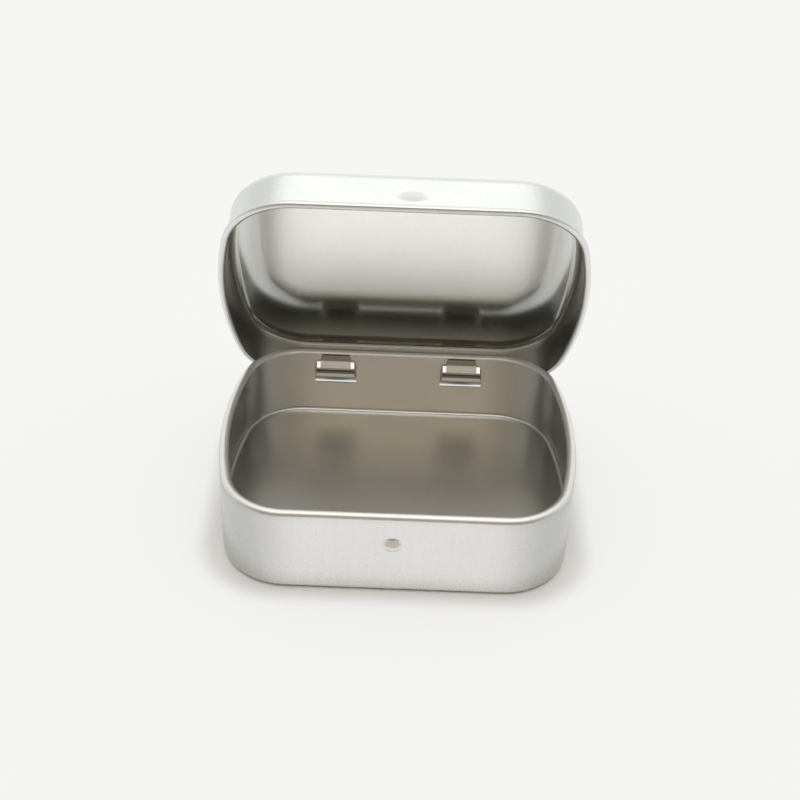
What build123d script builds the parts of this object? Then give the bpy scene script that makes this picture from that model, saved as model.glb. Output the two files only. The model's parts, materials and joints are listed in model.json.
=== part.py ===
# Small hinged tin, standing open, in millimetres.
# The origin is the middle of the base's underside, +X right, +Y to the hinge side, +Z up.
import os
from math import atan2, cos, degrees, radians, sin, sqrt
from build123d import *

os.makedirs("parts", exist_ok=True)

# Sheet and plan
sheet = 0.25
tin_length = 60.0
tin_depth = 48.0
end_radius = 70.0
corner_radius = 11.0
overrun = 1.0

# Base
base_height = 15.5
base_edge_radius = 1.0
foot_height = 1.3
foot_width = 1.3
foot_edge_radius = 0.3
floor_edge_radius = 0.75
rim_radius = 0.9
rim_turn = 150.0

# Lid
lid_skirt = 8.4
lid_gap = 0.4
lid_seat_gap = 0.45
lid_edge_radius = 1.8
hem_radius = 0.6
hem_turn = 270.0
open_angle = 66.3

# Hinge, with the tongue's reaches and heights taken from the hinge axis
rear_gap = 0.2
tongue_spacing = 23.3
tongue_offset = -0.45
tongue_width = 7.4
tongue_shoulder_width = 6.8
tongue_neck_width = 5.6
tongue_tip_width = 4.9
tongue_start_reach = 0.2
tongue_start_height = 0.55
tongue_lead_reach = 1.1
tongue_lead_height = 1.35
tongue_chin_reach = 2.25
tongue_chin_height = 1.3
tongue_relief_height = 2.3
tongue_nose_reach = 2.4
tongue_nose_height = 3.15
tongue_shoulder_height = 4.16
tongue_crease_height = 4.45
tongue_tip_height = 5.6
tongue_wall_gap = 0.12
tongue_bend_radius = 0.3
tongue_chin_radius = 0.45
tongue_nose_radius = 0.75
window_side_gap = 0.15
window_drop = 0.5
window_rise = 3.6
window_corner_radius = 0.3

# Latch: a small bump on the base's front that the lid's pressed oval rides onto
bump_height = 9.8
bump_offset = -0.3
bump_half_length = 1.7
bump_half_height = 1.4
bump_depth = 0.3
press_height = 11.5
press_offset = 0.8
press_half_length = 2.7
press_half_height = 1.4
press_depth = 0.28
press_inner_depth = 0.18

# Plan geometry that every outline shares
end_centre_x = tin_length / 2 - end_radius
corner_centre_y = tin_depth / 2 - corner_radius
corner_centre_x = end_centre_x + sqrt((end_radius - corner_radius) ** 2 - corner_centre_y ** 2)
end_sweep = degrees(atan2(corner_centre_y, corner_centre_x - end_centre_x))

# Heights and places that follow from the sizes above
lid_top = base_height + lid_seat_gap + sheet
hem_height = lid_top - lid_skirt + hem_radius
hinge_y = tin_depth / 2 + rear_gap + hem_radius
hinge_z = hem_height
lid_shift = lid_gap - rear_gap
lid_up = Vector(0, sin(radians(open_angle)), cos(radians(open_angle)))
lid_back = Vector(0, cos(radians(open_angle)), -sin(radians(open_angle)))
hinge_point = Vector(0, hinge_y, hinge_z)
lid_origin = hinge_point - lid_back * (hinge_y + lid_shift) - lid_up * hinge_z
lid_frame = Plane(origin=lid_origin, x_dir=(1, 0, 0), z_dir=lid_up)
tongue_places = [tongue_offset - tongue_spacing / 2, tongue_offset + tongue_spacing / 2]


def draw_outline(growth):
    """Adds the tin's plan, grown outward, to the line builder in use."""
    corner = corner_radius + growth
    half_depth = tin_depth / 2 + growth
    for side, turn in ((1, 0), (-1, 180)):
        CenterArc((side * end_centre_x, 0), end_radius + growth, turn - end_sweep, 2 * end_sweep)
        CenterArc((side * corner_centre_x, side * corner_centre_y), corner, turn + end_sweep, 90 - end_sweep)
        Line((side * corner_centre_x, side * half_depth), (-side * corner_centre_x, side * half_depth))
        CenterArc((-side * corner_centre_x, side * corner_centre_y), corner, turn + 90, 90 - end_sweep)


def curl_plane(path, centre, up):
    """Plane across the path's start, with x pointing out of the tin and y up."""
    start = path @ 0
    outward = (path % 0).cross(up)
    if outward.dot(start - centre) < 0:
        outward = outward * -1
    return Plane(origin=start, x_dir=outward, z_dir=outward.cross(up))


def draw_curl(radius, start_angle, turn):
    """Adds the edge of a strip of sheet rolled into an open ring."""
    outside = CenterArc((0, 0), radius, start_angle, turn)
    inside = CenterArc((0, 0), radius - sheet, start_angle, turn)
    Line(outside @ 0, inside @ 0)
    Line(outside @ 1, inside @ 1)


def plan_block(growth, bottom, height, edge_face, edge_radius):
    """A block on the tin's grown plan, with the edges of its lowest (0) or highest (-1) face rounded."""
    with BuildPart() as block:
        with BuildSketch(Plane.XY.offset(bottom)):
            with BuildLine():
                draw_outline(growth)
            make_face()
        extrude(amount=height)
        fillet(block.faces().sort_by(Axis.Z)[edge_face].edges(), edge_radius)
    return block.part


def oval_cap(plane, half_length, half_height, depth):
    """A shallow oval cap that stands on the plane, with a foot of half the sheet below it."""
    ball_radius = (half_height ** 2 + depth ** 2) / (2 * depth)
    with BuildPart() as cap:
        with BuildSketch(Plane.XZ):
            with BuildLine():
                RadiusArc((half_height, 0), (0, depth), -ball_radius)
                Polyline((0, depth), (0, -sheet / 2), (half_height, -sheet / 2), (half_height, 0))
            make_face()
        revolve(axis=Axis.Z)
        scale(by=(half_length / half_height, 1, 1))
    return cap.part.moved(plane.location)


# Base: one drawn shell on a folded foot, with an inward rolled rim, two hinge windows and the latch bump
rim_height = base_height - rim_radius
floor_top = foot_height + sheet
room = plan_block(-sheet, floor_top, rim_height - floor_top + overrun, 0, floor_edge_radius)
recess = plan_block(-foot_width, -overrun, foot_height + overrun, -1, foot_edge_radius)
with BuildLine(Plane.XY.offset(rim_height)) as rim_path:
    draw_outline(-rim_radius)
rim_wire = rim_path.wires()[0]

front_y = -tin_depth / 2
bump_outer_plane = Plane(origin=(bump_offset, front_y, bump_height), x_dir=(1, 0, 0), z_dir=(0, -1, 0))
bump_inner_plane = bump_outer_plane.offset(-sheet)
outer_bump = oval_cap(bump_outer_plane, bump_half_length, bump_half_height, bump_depth)
inner_bump = oval_cap(bump_inner_plane, bump_half_length, bump_half_height, bump_depth)
window_width = tongue_width + 2 * window_side_gap
window_height = window_drop + window_rise
window_middle = hinge_z + (window_rise - window_drop) / 2

with BuildPart() as base_shell:
    with BuildSketch():
        with BuildLine():
            draw_outline(0)
        make_face()
    extrude(amount=rim_height)
    fillet(base_shell.faces().sort_by(Axis.Z)[0].edges(), base_edge_radius)
    add(room, mode=Mode.SUBTRACT)
    add(recess, mode=Mode.SUBTRACT)
    with BuildSketch(curl_plane(rim_wire, Vector(0, 0, rim_height), Vector(0, 0, 1))):
        with BuildLine():
            draw_curl(rim_radius, 0, rim_turn)
        make_face()
    sweep(path=rim_wire)
    add(outer_bump)
    add(inner_bump, mode=Mode.SUBTRACT)
    with BuildSketch(Plane.XZ.offset(-tin_depth / 2 - overrun)):
        with Locations(*[(place, window_middle) for place in tongue_places]):
            RectangleRounded(window_width, window_height, window_corner_radius)
    extrude(amount=sheet + 2 * overrun, mode=Mode.SUBTRACT)

base_shell.part.label = "base_shell"
export_step(base_shell.part, "parts/base_shell.step")

# Lid: one drawn shell with an outward rolled hem and the latch press, drawn closed in its own frame
lid_wall = lid_gap + sheet
lid_axis = Axis(lid_origin, lid_up)
with BuildLine(lid_frame.offset(hem_height)) as hem_path:
    draw_outline(lid_gap + hem_radius)
hem_wire = hem_path.wires()[0]

press_plane = Plane(
    origin=lid_frame.from_local_coords((press_offset, front_y - lid_wall, press_height)),
    x_dir=(1, 0, 0),
    z_dir=lid_back,
)
outer_press = oval_cap(press_plane, press_half_length, press_half_height, press_depth)
inner_press = oval_cap(press_plane.offset(sheet), press_half_length, press_half_height, press_inner_depth)

with BuildPart() as lid_shell:
    with BuildSketch(lid_frame.offset(hem_height)):
        with BuildLine():
            draw_outline(lid_wall)
        make_face()
    extrude(amount=lid_top - hem_height)
    fillet(lid_shell.faces().sort_by(lid_axis)[-1].edges(), lid_edge_radius)
    offset(amount=-sheet, openings=lid_shell.faces().sort_by(lid_axis)[0])
    with BuildSketch(curl_plane(hem_wire, lid_origin + lid_up * hem_height, lid_up)):
        with BuildLine():
            draw_curl(hem_radius, 180, hem_turn)
        make_face()
    sweep(path=hem_wire)
    add(inner_press)
    add(outer_press, mode=Mode.SUBTRACT)

lid_shell.part.label = "lid_shell"
export_step(lid_shell.part, "parts/lid_shell.step")

# Hinge tongues: bright strips that leave the lid's hem, pass in through the windows and hook upward
crease_reach = hinge_y - tin_depth / 2 + sheet + tongue_wall_gap + sheet / 2


def bent_strip(place, upper_path, upper_bends, outline):
    """A strip of sheet that leaves the hem, bends round the nose and is cut to this outline."""
    side_plane = Plane(origin=(place, hinge_y, hinge_z), x_dir=(0, -1, 0), z_dir=(-1, 0, 0))
    front_plane = Plane(origin=(place, hinge_y, hinge_z), x_dir=(1, 0, 0), z_dir=(0, -1, 0))
    with BuildPart() as strip:
        with BuildSketch(side_plane):
            with BuildLine():
                FilletPolyline(
                    (tongue_start_reach, tongue_start_height),
                    (tongue_lead_reach, tongue_lead_height),
                    (tongue_chin_reach, tongue_chin_height),
                    (tongue_nose_reach, tongue_nose_height),
                    *upper_path,
                    radius=[tongue_bend_radius, tongue_chin_radius, tongue_nose_radius, *upper_bends],
                )
            trace(line_width=sheet)
            Circle(hem_radius, mode=Mode.SUBTRACT)
        extrude(amount=tongue_width / 2, both=True)
        with BuildSketch(front_plane):
            with BuildLine():
                Polyline(*[(side * width / 2, height) for side, width, height in outline], close=True)
            make_face()
        extrude(amount=tongue_nose_reach + overrun, mode=Mode.INTERSECT)
    return strip.part


def make_tongue(name, place):
    """One hinge tongue, centred on this x: a curl with two flat shoulders, and a narrower upright tip."""
    curl = bent_strip(
        place,
        [(crease_reach, tongue_shoulder_height)],
        [],
        [
            (-1, tongue_width, 0),
            (-1, tongue_shoulder_width, tongue_crease_height),
            (-1, tongue_neck_width, tongue_crease_height),
            (-1, tongue_neck_width, tongue_relief_height),
            (1, tongue_neck_width, tongue_relief_height),
            (1, tongue_neck_width, tongue_crease_height),
            (1, tongue_shoulder_width, tongue_crease_height),
            (1, tongue_width, 0),
        ],
    )
    tip = bent_strip(
        place,
        [(crease_reach, tongue_crease_height), (crease_reach, tongue_tip_height)],
        [tongue_bend_radius],
        [
            (-1, tongue_neck_width, tongue_relief_height),
            (-1, tongue_neck_width, tongue_crease_height),
            (-1, tongue_tip_width, tongue_tip_height),
            (1, tongue_tip_width, tongue_tip_height),
            (1, tongue_neck_width, tongue_crease_height),
            (1, tongue_neck_width, tongue_relief_height),
        ],
    )
    with BuildPart() as tongue:
        add(curl)
        add(tip)
    tongue.part.label = name
    export_step(tongue.part, f"parts/{name}.step")
    return tongue


tongues = [
    make_tongue(name, place)
    for name, place in zip(("hinge_tongue_left", "hinge_tongue_right"), tongue_places)
]
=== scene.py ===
# Small hinged tinplate tin, standing open on a pale floor.
import json
from math import cos, radians, sin

import bpy
from mathutils import Matrix, Vector


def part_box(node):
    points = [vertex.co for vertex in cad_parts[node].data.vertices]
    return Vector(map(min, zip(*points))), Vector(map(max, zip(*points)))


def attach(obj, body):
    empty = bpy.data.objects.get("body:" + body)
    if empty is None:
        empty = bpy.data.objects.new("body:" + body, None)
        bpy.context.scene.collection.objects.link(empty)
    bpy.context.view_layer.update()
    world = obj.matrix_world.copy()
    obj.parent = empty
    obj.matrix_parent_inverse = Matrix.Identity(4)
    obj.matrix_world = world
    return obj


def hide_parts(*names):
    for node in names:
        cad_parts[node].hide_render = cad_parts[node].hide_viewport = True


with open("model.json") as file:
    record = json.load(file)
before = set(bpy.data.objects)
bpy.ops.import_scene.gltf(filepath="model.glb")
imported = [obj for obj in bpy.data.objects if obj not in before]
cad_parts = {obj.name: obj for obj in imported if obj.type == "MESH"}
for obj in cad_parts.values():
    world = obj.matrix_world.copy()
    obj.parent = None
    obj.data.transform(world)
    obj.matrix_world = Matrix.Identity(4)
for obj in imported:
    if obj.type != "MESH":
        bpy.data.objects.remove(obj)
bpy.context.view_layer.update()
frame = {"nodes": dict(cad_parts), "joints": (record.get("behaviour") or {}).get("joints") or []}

MM = 0.001

# Camera, fitted to the outlines in the photo
IMAGE_PX = 800
FOCAL_PX = 1332.8
SENSOR_MM = 36.0
CAM_ELEVATION = 34.985
CAM_AZIMUTH = 0.017
CAM_ROLL = -2.187
CAM_DISTANCE = 230.59 * MM
TARGET_HEIGHT = 8.0 * MM
TARGET_RIGHT = 0.051 * MM
TARGET_UP = 10.64 * MM
CLIP_START = 5.0 * MM
CLIP_END = 20.0

# Places that the finishes follow: the hinge, the tongues and the base's far corner come from the frame
TONGUES = ("hinge_tongue_left", "hinge_tongue_right")
HINGE = frame["joints"][0]
HINGE_Y, HINGE_Z = HINGE["pos_m"][1:]
OPEN_ANGLE = -HINGE["range_deg"][0]
TONGUE_X = [sum(corner[0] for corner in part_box(name)) / 2 for name in TONGUES]
BASE_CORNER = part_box("base_shell")[1]
BASE_UP = (0, 0, 1)
LID_UP = (0, sin(radians(OPEN_ANGLE)), cos(radians(OPEN_ANGLE)))
BASE_MIDDLE = (0, 0, 8.0 * MM)
LID_MIDDLE = (0, 18.0 * MM, 32.7 * MM)

# Tinplate's noises: features per metre, stretch along the axes, detail, roughness
STREAKS = (1400.0, (1, 1, 0.05), 3.0, 0.6)
GRAIN = (1900.0, (1, 1, 1), 2.0, 0.7)
CLOUD = (110.0, (1, 1, 1), 3.0, 0.5)
TOOTH = (4200.0, (1, 1, 1), 2.0, 0.6)
STREAKS_PART, CLOUD_PART, GRAIN_PART = 0.25, 0.35, 0.4
DARK_FACTOR = 0.95
TOOTH_SPAN = (0.3, 0.7)
TOOTH_ROUGHNESS = 0.02
STREAKS_RELIEF, TOOTH_RELIEF = 0.35, 0.65
TINPLATE_BUMP = 0.04
BUMP_DEPTH = 0.02 * MM

# A noise's middle stretch, over which a colour goes from dark to light
NOISE_SPAN = (0.35, 0.65)

# How far a face looks up or down where it is no wall, and where it is all wall
WALL_FACING = (0.8, 0.3)

# How far a face's plane lies in front of the shell's middle to be all outside, or behind it to be all inside
INSIDE_BLEND = 1.0 * MM

# Painted shade on the drawn corners and end walls: where it starts and is full along X, its part on the
# plates, its colour
DRAWN_START = 14.0 * MM
DRAWN_END = 25.0 * MM
PLATE_SHARE = 0.12
DRAWN_SHADE_COLOUR = (0.30, 0.31, 0.295, 1)

# Oval patches: where one ends and where it is full, as parts of its half size
OVAL_PATCH_EDGE = (1.0, 0.55)

# Base shell: roughness and painted corner shade outside and inside, roughness added on the inner walls
BASE_COLOUR = (0.87, 0.86, 0.84, 1)
BASE_ROUGHNESS = (0.28, 0.31)
BASE_CORNER_SHADE = (0.50, 0.74)
BASE_WALL_ROUGHNESS = -0.08

# Tan oval spot on the latch bump: centre, half size, share, colour
BUMP_TAN_SPOT = (
    (-0.3 * MM, -24.3 * MM, 10.15 * MM),
    (1.75 * MM, 1.0 * MM, 0.9 * MM),
    0.6,
    (0.42, 0.33, 0.25, 1),
)

# Painted shade along the foot, and roughness added on the rubbed rim, by height: none and full
FOOT_SHADE_EDGE = (0.50 * MM, 0.20 * MM)
FOOT_SHADE_SHARE = 0.6
FOOT_SHADE_COLOUR = (0.22, 0.22, 0.21, 1)
RIM_EDGE = (13.7 * MM, 14.3 * MM)
RIM_ROUGHNESS = 0.10

# Lid shell, in the same terms
LID_COLOUR = (0.82, 0.83, 0.81, 1)
LID_ROUGHNESS = (0.25, 0.14)
LID_CORNER_SHADE = (0.10, 0.55)
LID_WALL_ROUGHNESS = 0.20
# Painted shade on the lid's inner walls: share and colour
LID_WALL_SHADE_SHARE = 0.45
LID_WALL_SHADE_COLOUR = (0.30, 0.295, 0.27, 1)
# Painted shade in the latch press: centre, half size, share, colour
PRESS_PAINTED_SHADE = (
    (0.8 * MM, 7.7 * MM, 55.2 * MM),
    (2.5 * MM, 1.2 * MM, 1.2 * MM),
    0.35,
    (0.42, 0.42, 0.40, 1),
)
# Painted shade on the hem where the tongues leave it: half size, share, colour
HEM_SHADE_HALF = (4.2 * MM, 0.9 * MM, 0.9 * MM)
HEM_SHADE_SHARE = 0.8
HEM_SHADE_COLOUR = (0.16, 0.155, 0.13, 1)

# Hinge tongues
DRAWING_LINES = (2600.0, (0.03, 1, 1), 3.0, 0.6)
BRIGHT_DARK = (0.66, 0.66, 0.645, 1)
BRIGHT_LIGHT = (0.76, 0.76, 0.75, 1)
BRIGHT_SPAN = (0.3, 0.7)
BRIGHT_ROUGHNESS = (0.06, 0.11)
BRIGHT_BUMP = 0.08

# Painted dark reflections in bands on the tongues, by height: low edge, high edge, softness, share, colour
TONGUE_PAINTED_BANDS = (
    (8.0 * MM, 10.15 * MM, 0.1 * MM, 0.85, (0.22, 0.22, 0.20, 1)),
    (10.80 * MM, 11.65 * MM, 0.15 * MM, 0.85, (0.10, 0.10, 0.09, 1)),
    (12.90 * MM, 14.5 * MM, 0.08 * MM, 0.65, (0.26, 0.23, 0.16, 1)),
)

# Angle from which an edge stays sharp, and the weight that large faces have in the normals
SHARP_ANGLE = 40.0
NORMAL_WEIGHT = 50

# Floor
FLOOR_HALF = 3.0
FLOOR_CLOUD = (6.0, (1, 1, 1), 2.0)
FLOOR_CLOUD_COLOUR = (0.92, 0.92, 0.92, 1)
FLOOR_COLOUR = (0.94, 0.94, 0.945, 1)
FLOOR_ROUGHNESS = 0.9
FLOOR_SPECULAR = 0.1
FLOOR_SEEN = (0.955, 0.955, 0.96, 1)

# The floor's lift, at the tin's outline and from the reach on
FLOOR_LIFT = (0.0, 0.68)
FLOOR_LIFT_REACH = 4.5 * MM

# The tin's rounded outline: the corners' radius and their centres
OUTLINE_CORNER = 11.0 * MM
OUTLINE_HALF_X = BASE_CORNER[0] - OUTLINE_CORNER
OUTLINE_HALF_Y = BASE_CORNER[1] - OUTLINE_CORNER

# The shaded floor behind the tin, under the open lid: none and full
SHADE_X = (28.0 * MM, 18.0 * MM)
SHADE_NEAR = (18.0 * MM, 26.0 * MM)
SHADE_FAR = (70.0 * MM, 50.0 * MM)

# Surroundings, over the direction's Y and Z: behind the camera, at the sides, behind the tin, overhead
BEHIND_LOW = (0.46, 0.445, 0.42, 1)
BEHIND_HIGH = (0.33, 0.26, 0.16, 1)
BEHIND_Z = (0.15, 0.45)
SIDE_COLOUR = (0.66, 0.66, 0.63, 1)
SIDE_Y = (-0.80, -0.15)
BACK_COLOUR = (0.98, 0.99, 0.97, 1)
BACK_Y = (-0.15, 0.9)
TOP_COLOUR = (1.25, 1.26, 1.235, 1)
TOP_Z = (0.66, 0.96)
TOP_FRONT_COLOUR = (1.68, 1.68, 1.64, 1)
TOP_FRONT_Y = (-0.10, -0.38)
TOP_FRONT_Z = (0.70, 0.86)

# Card in front of the tin
CARD_HALF = 160.0 * MM
CARD_Y = -140.0 * MM
CARD_TOP = 30.0 * MM
CARD_COLOUR = (0.24, 0.19, 0.125, 1)


def make_camera():
    """The photograph's camera, from its angles and distance."""
    el, az, roll = radians(CAM_ELEVATION), radians(CAM_AZIMUTH), radians(CAM_ROLL)
    fwd = Vector((sin(az) * cos(el), cos(az) * cos(el), -sin(el)))
    right = Vector((cos(az), -sin(az), 0.0))
    up = right.cross(fwd)
    cam_x = right * cos(roll) - up * sin(roll)
    cam_y = right * sin(roll) + up * cos(roll)
    target = Vector((0.0, 0.0, TARGET_HEIGHT)) + right * TARGET_RIGHT + up * TARGET_UP
    place = target - fwd * CAM_DISTANCE
    data = bpy.data.cameras.new("camera")
    data.sensor_width = SENSOR_MM
    data.lens = FOCAL_PX / IMAGE_PX * SENSOR_MM
    data.clip_start = CLIP_START
    data.clip_end = CLIP_END
    cam = bpy.data.objects.new("camera", data)
    bpy.context.scene.collection.objects.link(cam)
    cam.matrix_world = Matrix(
        (
            (cam_x.x, cam_y.x, -fwd.x, place.x),
            (cam_x.y, cam_y.y, -fwd.y, place.y),
            (cam_x.z, cam_y.z, -fwd.z, place.z),
            (0, 0, 0, 1),
        )
    )
    bpy.context.scene.camera = cam


class Tree:
    """Short calls for building a node tree."""

    def __init__(self, tree):
        self.tree = tree
        tree.nodes.clear()

    def fill(self, socket, value):
        """Link a socket to another one, or set its own value."""
        if isinstance(value, bpy.types.NodeSocket):
            self.tree.links.new(value, socket)
        else:
            socket.default_value = value

    def node(self, kind, inputs=None, **props):
        n = self.tree.nodes.new(kind)
        for key, value in props.items():
            setattr(n, key, value)
        for key, value in (inputs or {}).items():
            self.fill(n.inputs[key], value)
        return n

    def math(self, operation, a, b=0.0, clamp=False):
        n = self.node("ShaderNodeMath", {0: a, 1: b}, operation=operation, use_clamp=clamp)
        return n.outputs[0]

    def ramp(self, value, low, high, to_low=0.0, to_high=1.0, smooth=True):
        n = self.node(
            "ShaderNodeMapRange",
            {"Value": value, "From Min": low, "From Max": high, "To Min": to_low, "To Max": to_high},
            interpolation_type="SMOOTHSTEP" if smooth else "LINEAR",
        )
        return n.outputs["Result"]

    def mix(self, share, a, b):
        n = self.node("ShaderNodeMix", {"Factor": share}, data_type="RGBA")
        colour_a, colour_b = (s for s in n.inputs if s.type == "RGBA")
        self.fill(colour_a, a)
        self.fill(colour_b, b)
        return next(s for s in n.outputs if s.type == "RGBA")

    def split(self, vector):
        """A vector's X, Y and Z."""
        return self.node("ShaderNodeSeparateXYZ", {"Vector": vector}).outputs

    def bump(self, height, strength):
        n = self.node("ShaderNodeBump", {"Height": height, "Strength": strength, "Distance": BUMP_DEPTH})
        return n.outputs[0]


def new_material(name):
    mat = bpy.data.materials.new(name)
    mat.use_nodes = True
    return mat, Tree(mat.node_tree)


def noise(t, coords, scale, stretch, detail, rough=0.5):
    """Noise over object coordinates, stretched along the axes; scale is in features per metre."""
    mapped = t.node("ShaderNodeMapping", {"Vector": coords, "Scale": stretch}).outputs[0]
    n = t.node(
        "ShaderNodeTexNoise",
        {"Vector": mapped, "Scale": scale, "Detail": detail, "Roughness": rough},
    )
    return n.outputs["Fac"]


def wall_share(t, normal, up):
    """1 on the walls, 0 on the bottom or top plate."""
    n = t.node("ShaderNodeVectorMath", {0: normal, 1: up}, operation="DOT_PRODUCT")
    return t.ramp(t.math("ABSOLUTE", n.outputs["Value"]), *WALL_FACING)


def drawn_shade_share(t, coords, wall):
    """Share of painted shade: 0 on the flat walls, 1 on the drawn corners and the end walls, less on the
    bottom or top plate.
    """
    away = t.math("ABSOLUTE", t.split(coords)["X"])
    least = t.ramp(wall, 0.0, 1.0, PLATE_SHARE, 1.0, smooth=False)
    return t.math("MULTIPLY", t.ramp(away, DRAWN_START, DRAWN_END), least)


def inside_share(t, coords, normal, middle):
    """1 on the faces that look at the shell's middle, 0 on its outside."""
    reach = t.node("ShaderNodeVectorMath", {0: coords, 1: middle}, operation="SUBTRACT").outputs[0]
    facing = t.node("ShaderNodeVectorMath", {0: reach, 1: normal}, operation="DOT_PRODUCT")
    return t.ramp(facing.outputs["Value"], INSIDE_BLEND, -INSIDE_BLEND)


def oval_patch(t, coords, base, centre, half, share, colour):
    """The base colour with an oval patch of another colour, full in its middle and falling smoothly to its
    edge.
    """
    moved = t.node("ShaderNodeVectorMath", {0: coords, 1: centre}, operation="SUBTRACT").outputs[0]
    unit = t.node("ShaderNodeVectorMath", {0: moved, 1: half}, operation="DIVIDE").outputs[0]
    reach = t.node("ShaderNodeVectorMath", {0: unit}, operation="LENGTH").outputs["Value"]
    oval = t.ramp(reach, *OVAL_PATCH_EDGE)
    return t.mix(t.math("MULTIPLY", oval, share), base, colour)


def tinplate(name, colour, up, middle, roughness, corner_shade, wall_rough):
    """Satin tinplate: fine sandy tooth, faint streaks down the walls, slow mottling, painted shade on the
    drawn corners.

    roughness and corner_shade are pairs, for the outside and the inside; wall_rough is added on the inner
    walls.
    """
    mat, t = new_material(name)
    place = t.node("ShaderNodeTexCoord")
    coords, normal = place.outputs["Object"], place.outputs["Normal"]
    inside = inside_share(t, coords, normal, middle)
    wall = wall_share(t, normal, up)
    inner_wall = t.math("MULTIPLY", inside, wall)
    streaks = noise(t, coords, *STREAKS)
    grain = noise(t, coords, *GRAIN)
    cloud = noise(t, coords, *CLOUD)
    tooth = noise(t, coords, *TOOTH)

    mottle = t.math("ADD", t.math("MULTIPLY", streaks, STREAKS_PART), t.math("MULTIPLY", cloud, CLOUD_PART))
    mottle = t.math("ADD", mottle, t.math("MULTIPLY", grain, GRAIN_PART))
    dark = tuple(DARK_FACTOR * c for c in colour[:3]) + (1,)
    base = t.mix(t.ramp(mottle, *NOISE_SPAN), dark, colour)
    corner_shade_share = t.ramp(inside, 0.0, 1.0, *corner_shade, smooth=False)
    # Painted shade darkens the drawn corners and end walls
    base = t.mix(t.math("MULTIPLY", drawn_shade_share(t, coords, wall), corner_shade_share), base, DRAWN_SHADE_COLOUR)

    rough = t.ramp(inside, 0.0, 1.0, *roughness, smooth=False)
    rough = t.math("ADD", rough, t.math("MULTIPLY", inner_wall, wall_rough))
    sandy = t.ramp(tooth, *TOOTH_SPAN, -TOOTH_ROUGHNESS, TOOTH_ROUGHNESS, smooth=False)
    rough = t.math("ADD", sandy, rough)

    height = t.math("MULTIPLY", streaks, STREAKS_RELIEF)
    height = t.math("ADD", height, t.math("MULTIPLY", tooth, TOOTH_RELIEF))
    return mat, t, coords, base, rough, t.bump(height, TINPLATE_BUMP), inner_wall


def finish_metal(t, base, rough, bump):
    shader = t.node(
        "ShaderNodeBsdfPrincipled",
        {"Base Color": base, "Metallic": 1.0, "Roughness": rough, "Normal": bump},
    )
    t.node("ShaderNodeOutputMaterial", {"Surface": shader.outputs[0]})


def make_base_metal():
    """The base's tinplate, with a tan spot on the latch bump, painted shade along the foot and a rougher
    rubbed rim.
    """
    mat, t, coords, base, rough, bump, _ = tinplate(
        "base_tinplate", BASE_COLOUR, BASE_UP, BASE_MIDDLE, BASE_ROUGHNESS, BASE_CORNER_SHADE, BASE_WALL_ROUGHNESS
    )
    # A tan oval spot on the latch bump
    base = oval_patch(t, coords, base, *BUMP_TAN_SPOT)
    height = t.split(coords)["Z"]
    # Painted shade along the lowest edge of the foot
    base = t.mix(t.math("MULTIPLY", t.ramp(height, *FOOT_SHADE_EDGE), FOOT_SHADE_SHARE), base, FOOT_SHADE_COLOUR)
    rough = t.math("ADD", rough, t.ramp(height, *RIM_EDGE, 0.0, RIM_ROUGHNESS))
    finish_metal(t, base, rough, bump)
    return mat


def make_lid_metal():
    """The lid's tinplate, with rougher inner walls carrying painted shade, painted shade in the latch press
    and on the hem at the tongues.
    """
    mat, t, coords, base, rough, bump, inner_wall = tinplate(
        "lid_tinplate", LID_COLOUR, LID_UP, LID_MIDDLE, LID_ROUGHNESS, LID_CORNER_SHADE, LID_WALL_ROUGHNESS
    )
    # Painted shade on the lid's inner walls
    base = t.mix(t.math("MULTIPLY", inner_wall, LID_WALL_SHADE_SHARE), base, LID_WALL_SHADE_COLOUR)
    # Painted shade in the latch press
    base = oval_patch(t, coords, base, *PRESS_PAINTED_SHADE)
    # Painted shade on the hem at each tongue
    for x in TONGUE_X:
        base = oval_patch(t, coords, base, (x, HINGE_Y, HINGE_Z), HEM_SHADE_HALF, HEM_SHADE_SHARE, HEM_SHADE_COLOUR)
    finish_metal(t, base, rough, bump)
    return mat


def make_bright_metal():
    """The tongues' mirror finish, with faint drawing lines across them and painted dark reflections in bands
    across their bends.
    """
    mat, t = new_material("tongue_bright")
    coords = t.node("ShaderNodeTexCoord").outputs["Object"]
    lines = noise(t, coords, *DRAWING_LINES)
    base = t.mix(t.ramp(lines, *NOISE_SPAN), BRIGHT_DARK, BRIGHT_LIGHT)
    height = t.split(coords)["Z"]
    # Painted dark reflections in bands across the tongues
    for low, high, soft, share, tint in TONGUE_PAINTED_BANDS:
        above = t.ramp(height, low - soft, low + soft)
        below = t.ramp(height, high + soft, high - soft)
        base = t.mix(t.math("MULTIPLY", t.math("MULTIPLY", above, below), share), base, tint)
    rough = t.ramp(lines, *BRIGHT_SPAN, *BRIGHT_ROUGHNESS)
    finish_metal(t, base, rough, t.bump(lines, BRIGHT_BUMP))
    return mat


def dress(node, body, mat):
    """A copy of a CAD node's mesh with smooth, area-weighted normals, which stands for the node."""
    mesh = frame["nodes"][node].data.copy()
    obj = bpy.data.objects.new(node + "_skin", mesh)
    bpy.context.scene.collection.objects.link(obj)
    mesh.materials.clear()
    mesh.materials.append(mat)
    for poly in mesh.polygons:
        poly.use_smooth = True
    mesh.set_sharp_from_angle(angle=radians(SHARP_ANGLE))
    mod = obj.modifiers.new("normals", "WEIGHTED_NORMAL")
    mod.mode = "FACE_AREA"
    mod.keep_sharp = True
    mod.weight = NORMAL_WEIGHT
    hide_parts(node)
    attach(obj, body)


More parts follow.
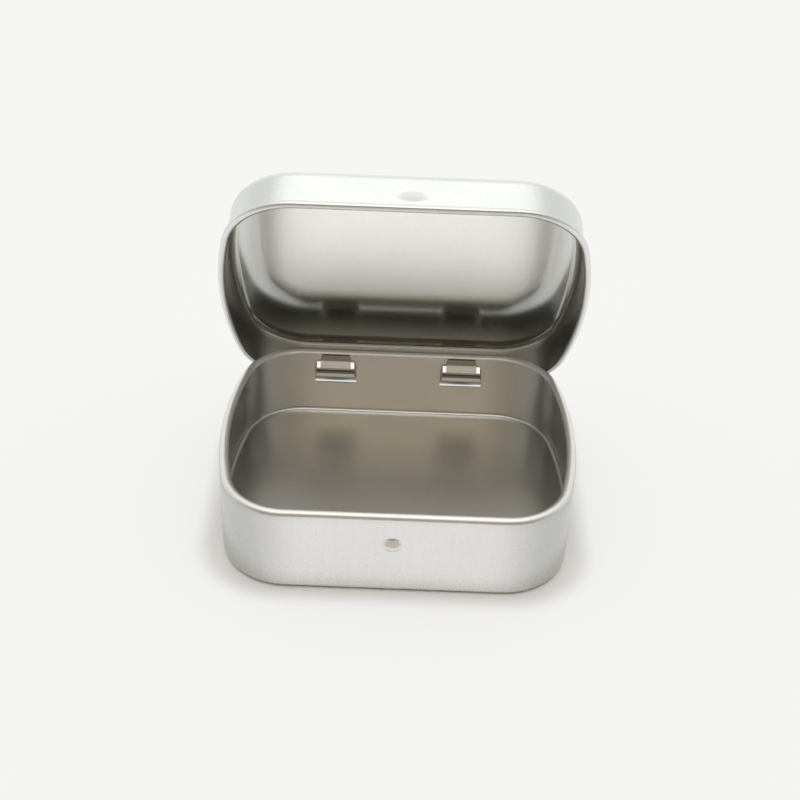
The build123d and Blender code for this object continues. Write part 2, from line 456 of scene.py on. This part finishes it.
def outline_distance(t, coords):
    """How far a point of the floor is from the tin's rounded outline."""
    parts = t.split(coords)
    across = t.math("MAXIMUM", t.math("SUBTRACT", t.math("ABSOLUTE", parts["X"]), OUTLINE_HALF_X), 0.0)
    along = t.math("MAXIMUM", t.math("SUBTRACT", t.math("ABSOLUTE", parts["Y"]), OUTLINE_HALF_Y), 0.0)
    corner = t.node("ShaderNodeCombineXYZ", {"X": across, "Y": along}).outputs[0]
    reach = t.node("ShaderNodeVectorMath", {0: corner}, operation="LENGTH").outputs["Value"]
    return t.math("SUBTRACT", reach, OUTLINE_CORNER)


def behind_share(t, coords):
    """1 on the floor just behind the tin, where the open lid keeps the light off."""
    parts = t.split(coords)
    along = t.math("MULTIPLY", t.ramp(parts["Y"], *SHADE_NEAR), t.ramp(parts["Y"], *SHADE_FAR))
    return t.math("MULTIPLY", along, t.ramp(t.math("ABSOLUTE", parts["X"]), *SHADE_X))


def make_panel(name, corners, mat):
    """A flat panel with four corners."""
    mesh = bpy.data.meshes.new(name)
    mesh.from_pydata(corners, [], [(0, 1, 2, 3)])
    mesh.materials.append(mat)
    panel = bpy.data.objects.new(name, mesh)
    bpy.context.scene.collection.objects.link(panel)
    return panel


def make_floor():
    """A pale paper floor, lifted where it is seen or mirrored, except in the tin's contact shadow."""
    mat, t = new_material("floor_paper")
    coords = t.node("ShaderNodeTexCoord").outputs["Object"]
    base = t.mix(noise(t, coords, *FLOOR_CLOUD), FLOOR_CLOUD_COLOUR, FLOOR_COLOUR)
    paper = t.node(
        "ShaderNodeBsdfPrincipled",
        {"Base Color": base, "Roughness": FLOOR_ROUGHNESS, "Specular IOR Level": FLOOR_SPECULAR},
    )
    lifted = t.node("ShaderNodeEmission", {"Color": FLOOR_SEEN, "Strength": 1.0})
    path = t.node("ShaderNodeLightPath").outputs
    seen = t.math("ADD", path["Is Camera Ray"], path["Is Glossy Ray"], clamp=True)
    seen = t.math("ADD", seen, path["Is Transmission Ray"], clamp=True)
    lift = t.ramp(outline_distance(t, coords), 0.0, FLOOR_LIFT_REACH, *FLOOR_LIFT)
    lift = t.math("MULTIPLY", lift, t.math("SUBTRACT", 1.0, behind_share(t, coords)))
    both = t.node(
        "ShaderNodeMixShader",
        {0: t.math("MULTIPLY", seen, lift), 1: paper.outputs[0], 2: lifted.outputs[0]},
    )
    t.node("ShaderNodeOutputMaterial", {"Surface": both.outputs[0]})
    corners = [
        (-FLOOR_HALF, -FLOOR_HALF, 0),
        (FLOOR_HALF, -FLOOR_HALF, 0),
        (FLOOR_HALF, FLOOR_HALF, 0),
        (-FLOOR_HALF, FLOOR_HALF, 0),
    ]
    floor = make_panel("floor", corners, mat)


def make_card():
    """A brown card in front of the tin that only the metal's reflections see."""
    mat, t = new_material("card_brown")
    glow = t.node("ShaderNodeEmission", {"Color": CARD_COLOUR, "Strength": 1.0})
    t.node("ShaderNodeOutputMaterial", {"Surface": glow.outputs[0]})
    corners = [
        (-CARD_HALF, CARD_Y, 0),
        (CARD_HALF, CARD_Y, 0),
        (CARD_HALF, CARD_Y, CARD_TOP),
        (-CARD_HALF, CARD_Y, CARD_TOP),
    ]
    card = make_panel("front_card", corners, mat)
    card.visible_camera = False
    card.visible_diffuse = False
    card.visible_shadow = False


def make_world():
    """Soft studio surroundings: bright overhead, pale sides and back, dark and warm behind the camera."""
    world = bpy.data.worlds.new("studio")
    bpy.context.scene.world = world
    world.use_nodes = True
    t = Tree(world.node_tree)
    toward = t.split(t.node("ShaderNodeTexCoord").outputs["Generated"])
    low = t.mix(t.ramp(toward["Z"], *BEHIND_Z), BEHIND_LOW, BEHIND_HIGH)
    low = t.mix(t.ramp(toward["Y"], *SIDE_Y, smooth=False), low, SIDE_COLOUR)
    low = t.mix(t.ramp(toward["Y"], *BACK_Y, smooth=False), low, BACK_COLOUR)
    front = t.math("MULTIPLY", t.ramp(toward["Y"], *TOP_FRONT_Y), t.ramp(toward["Z"], *TOP_FRONT_Z))
    top = t.mix(front, TOP_COLOUR, TOP_FRONT_COLOUR)
    colour = t.mix(t.ramp(toward["Z"], *TOP_Z), low, top)
    back = t.node("ShaderNodeBackground", {"Color": colour, "Strength": 1.0})
    t.node("ShaderNodeOutputWorld", {"Surface": back.outputs[0]})


make_camera()
base_mat = make_base_metal()
lid_mat = make_lid_metal()
bright_mat = make_bright_metal()
dress("base_shell", "base", base_mat)
dress("lid_shell", "lid", lid_mat)
for tongue in TONGUES:
    dress(tongue, "lid", bright_mat)
make_floor()
make_world()
make_card()

bpy.context.scene.view_settings.view_transform = "Standard"
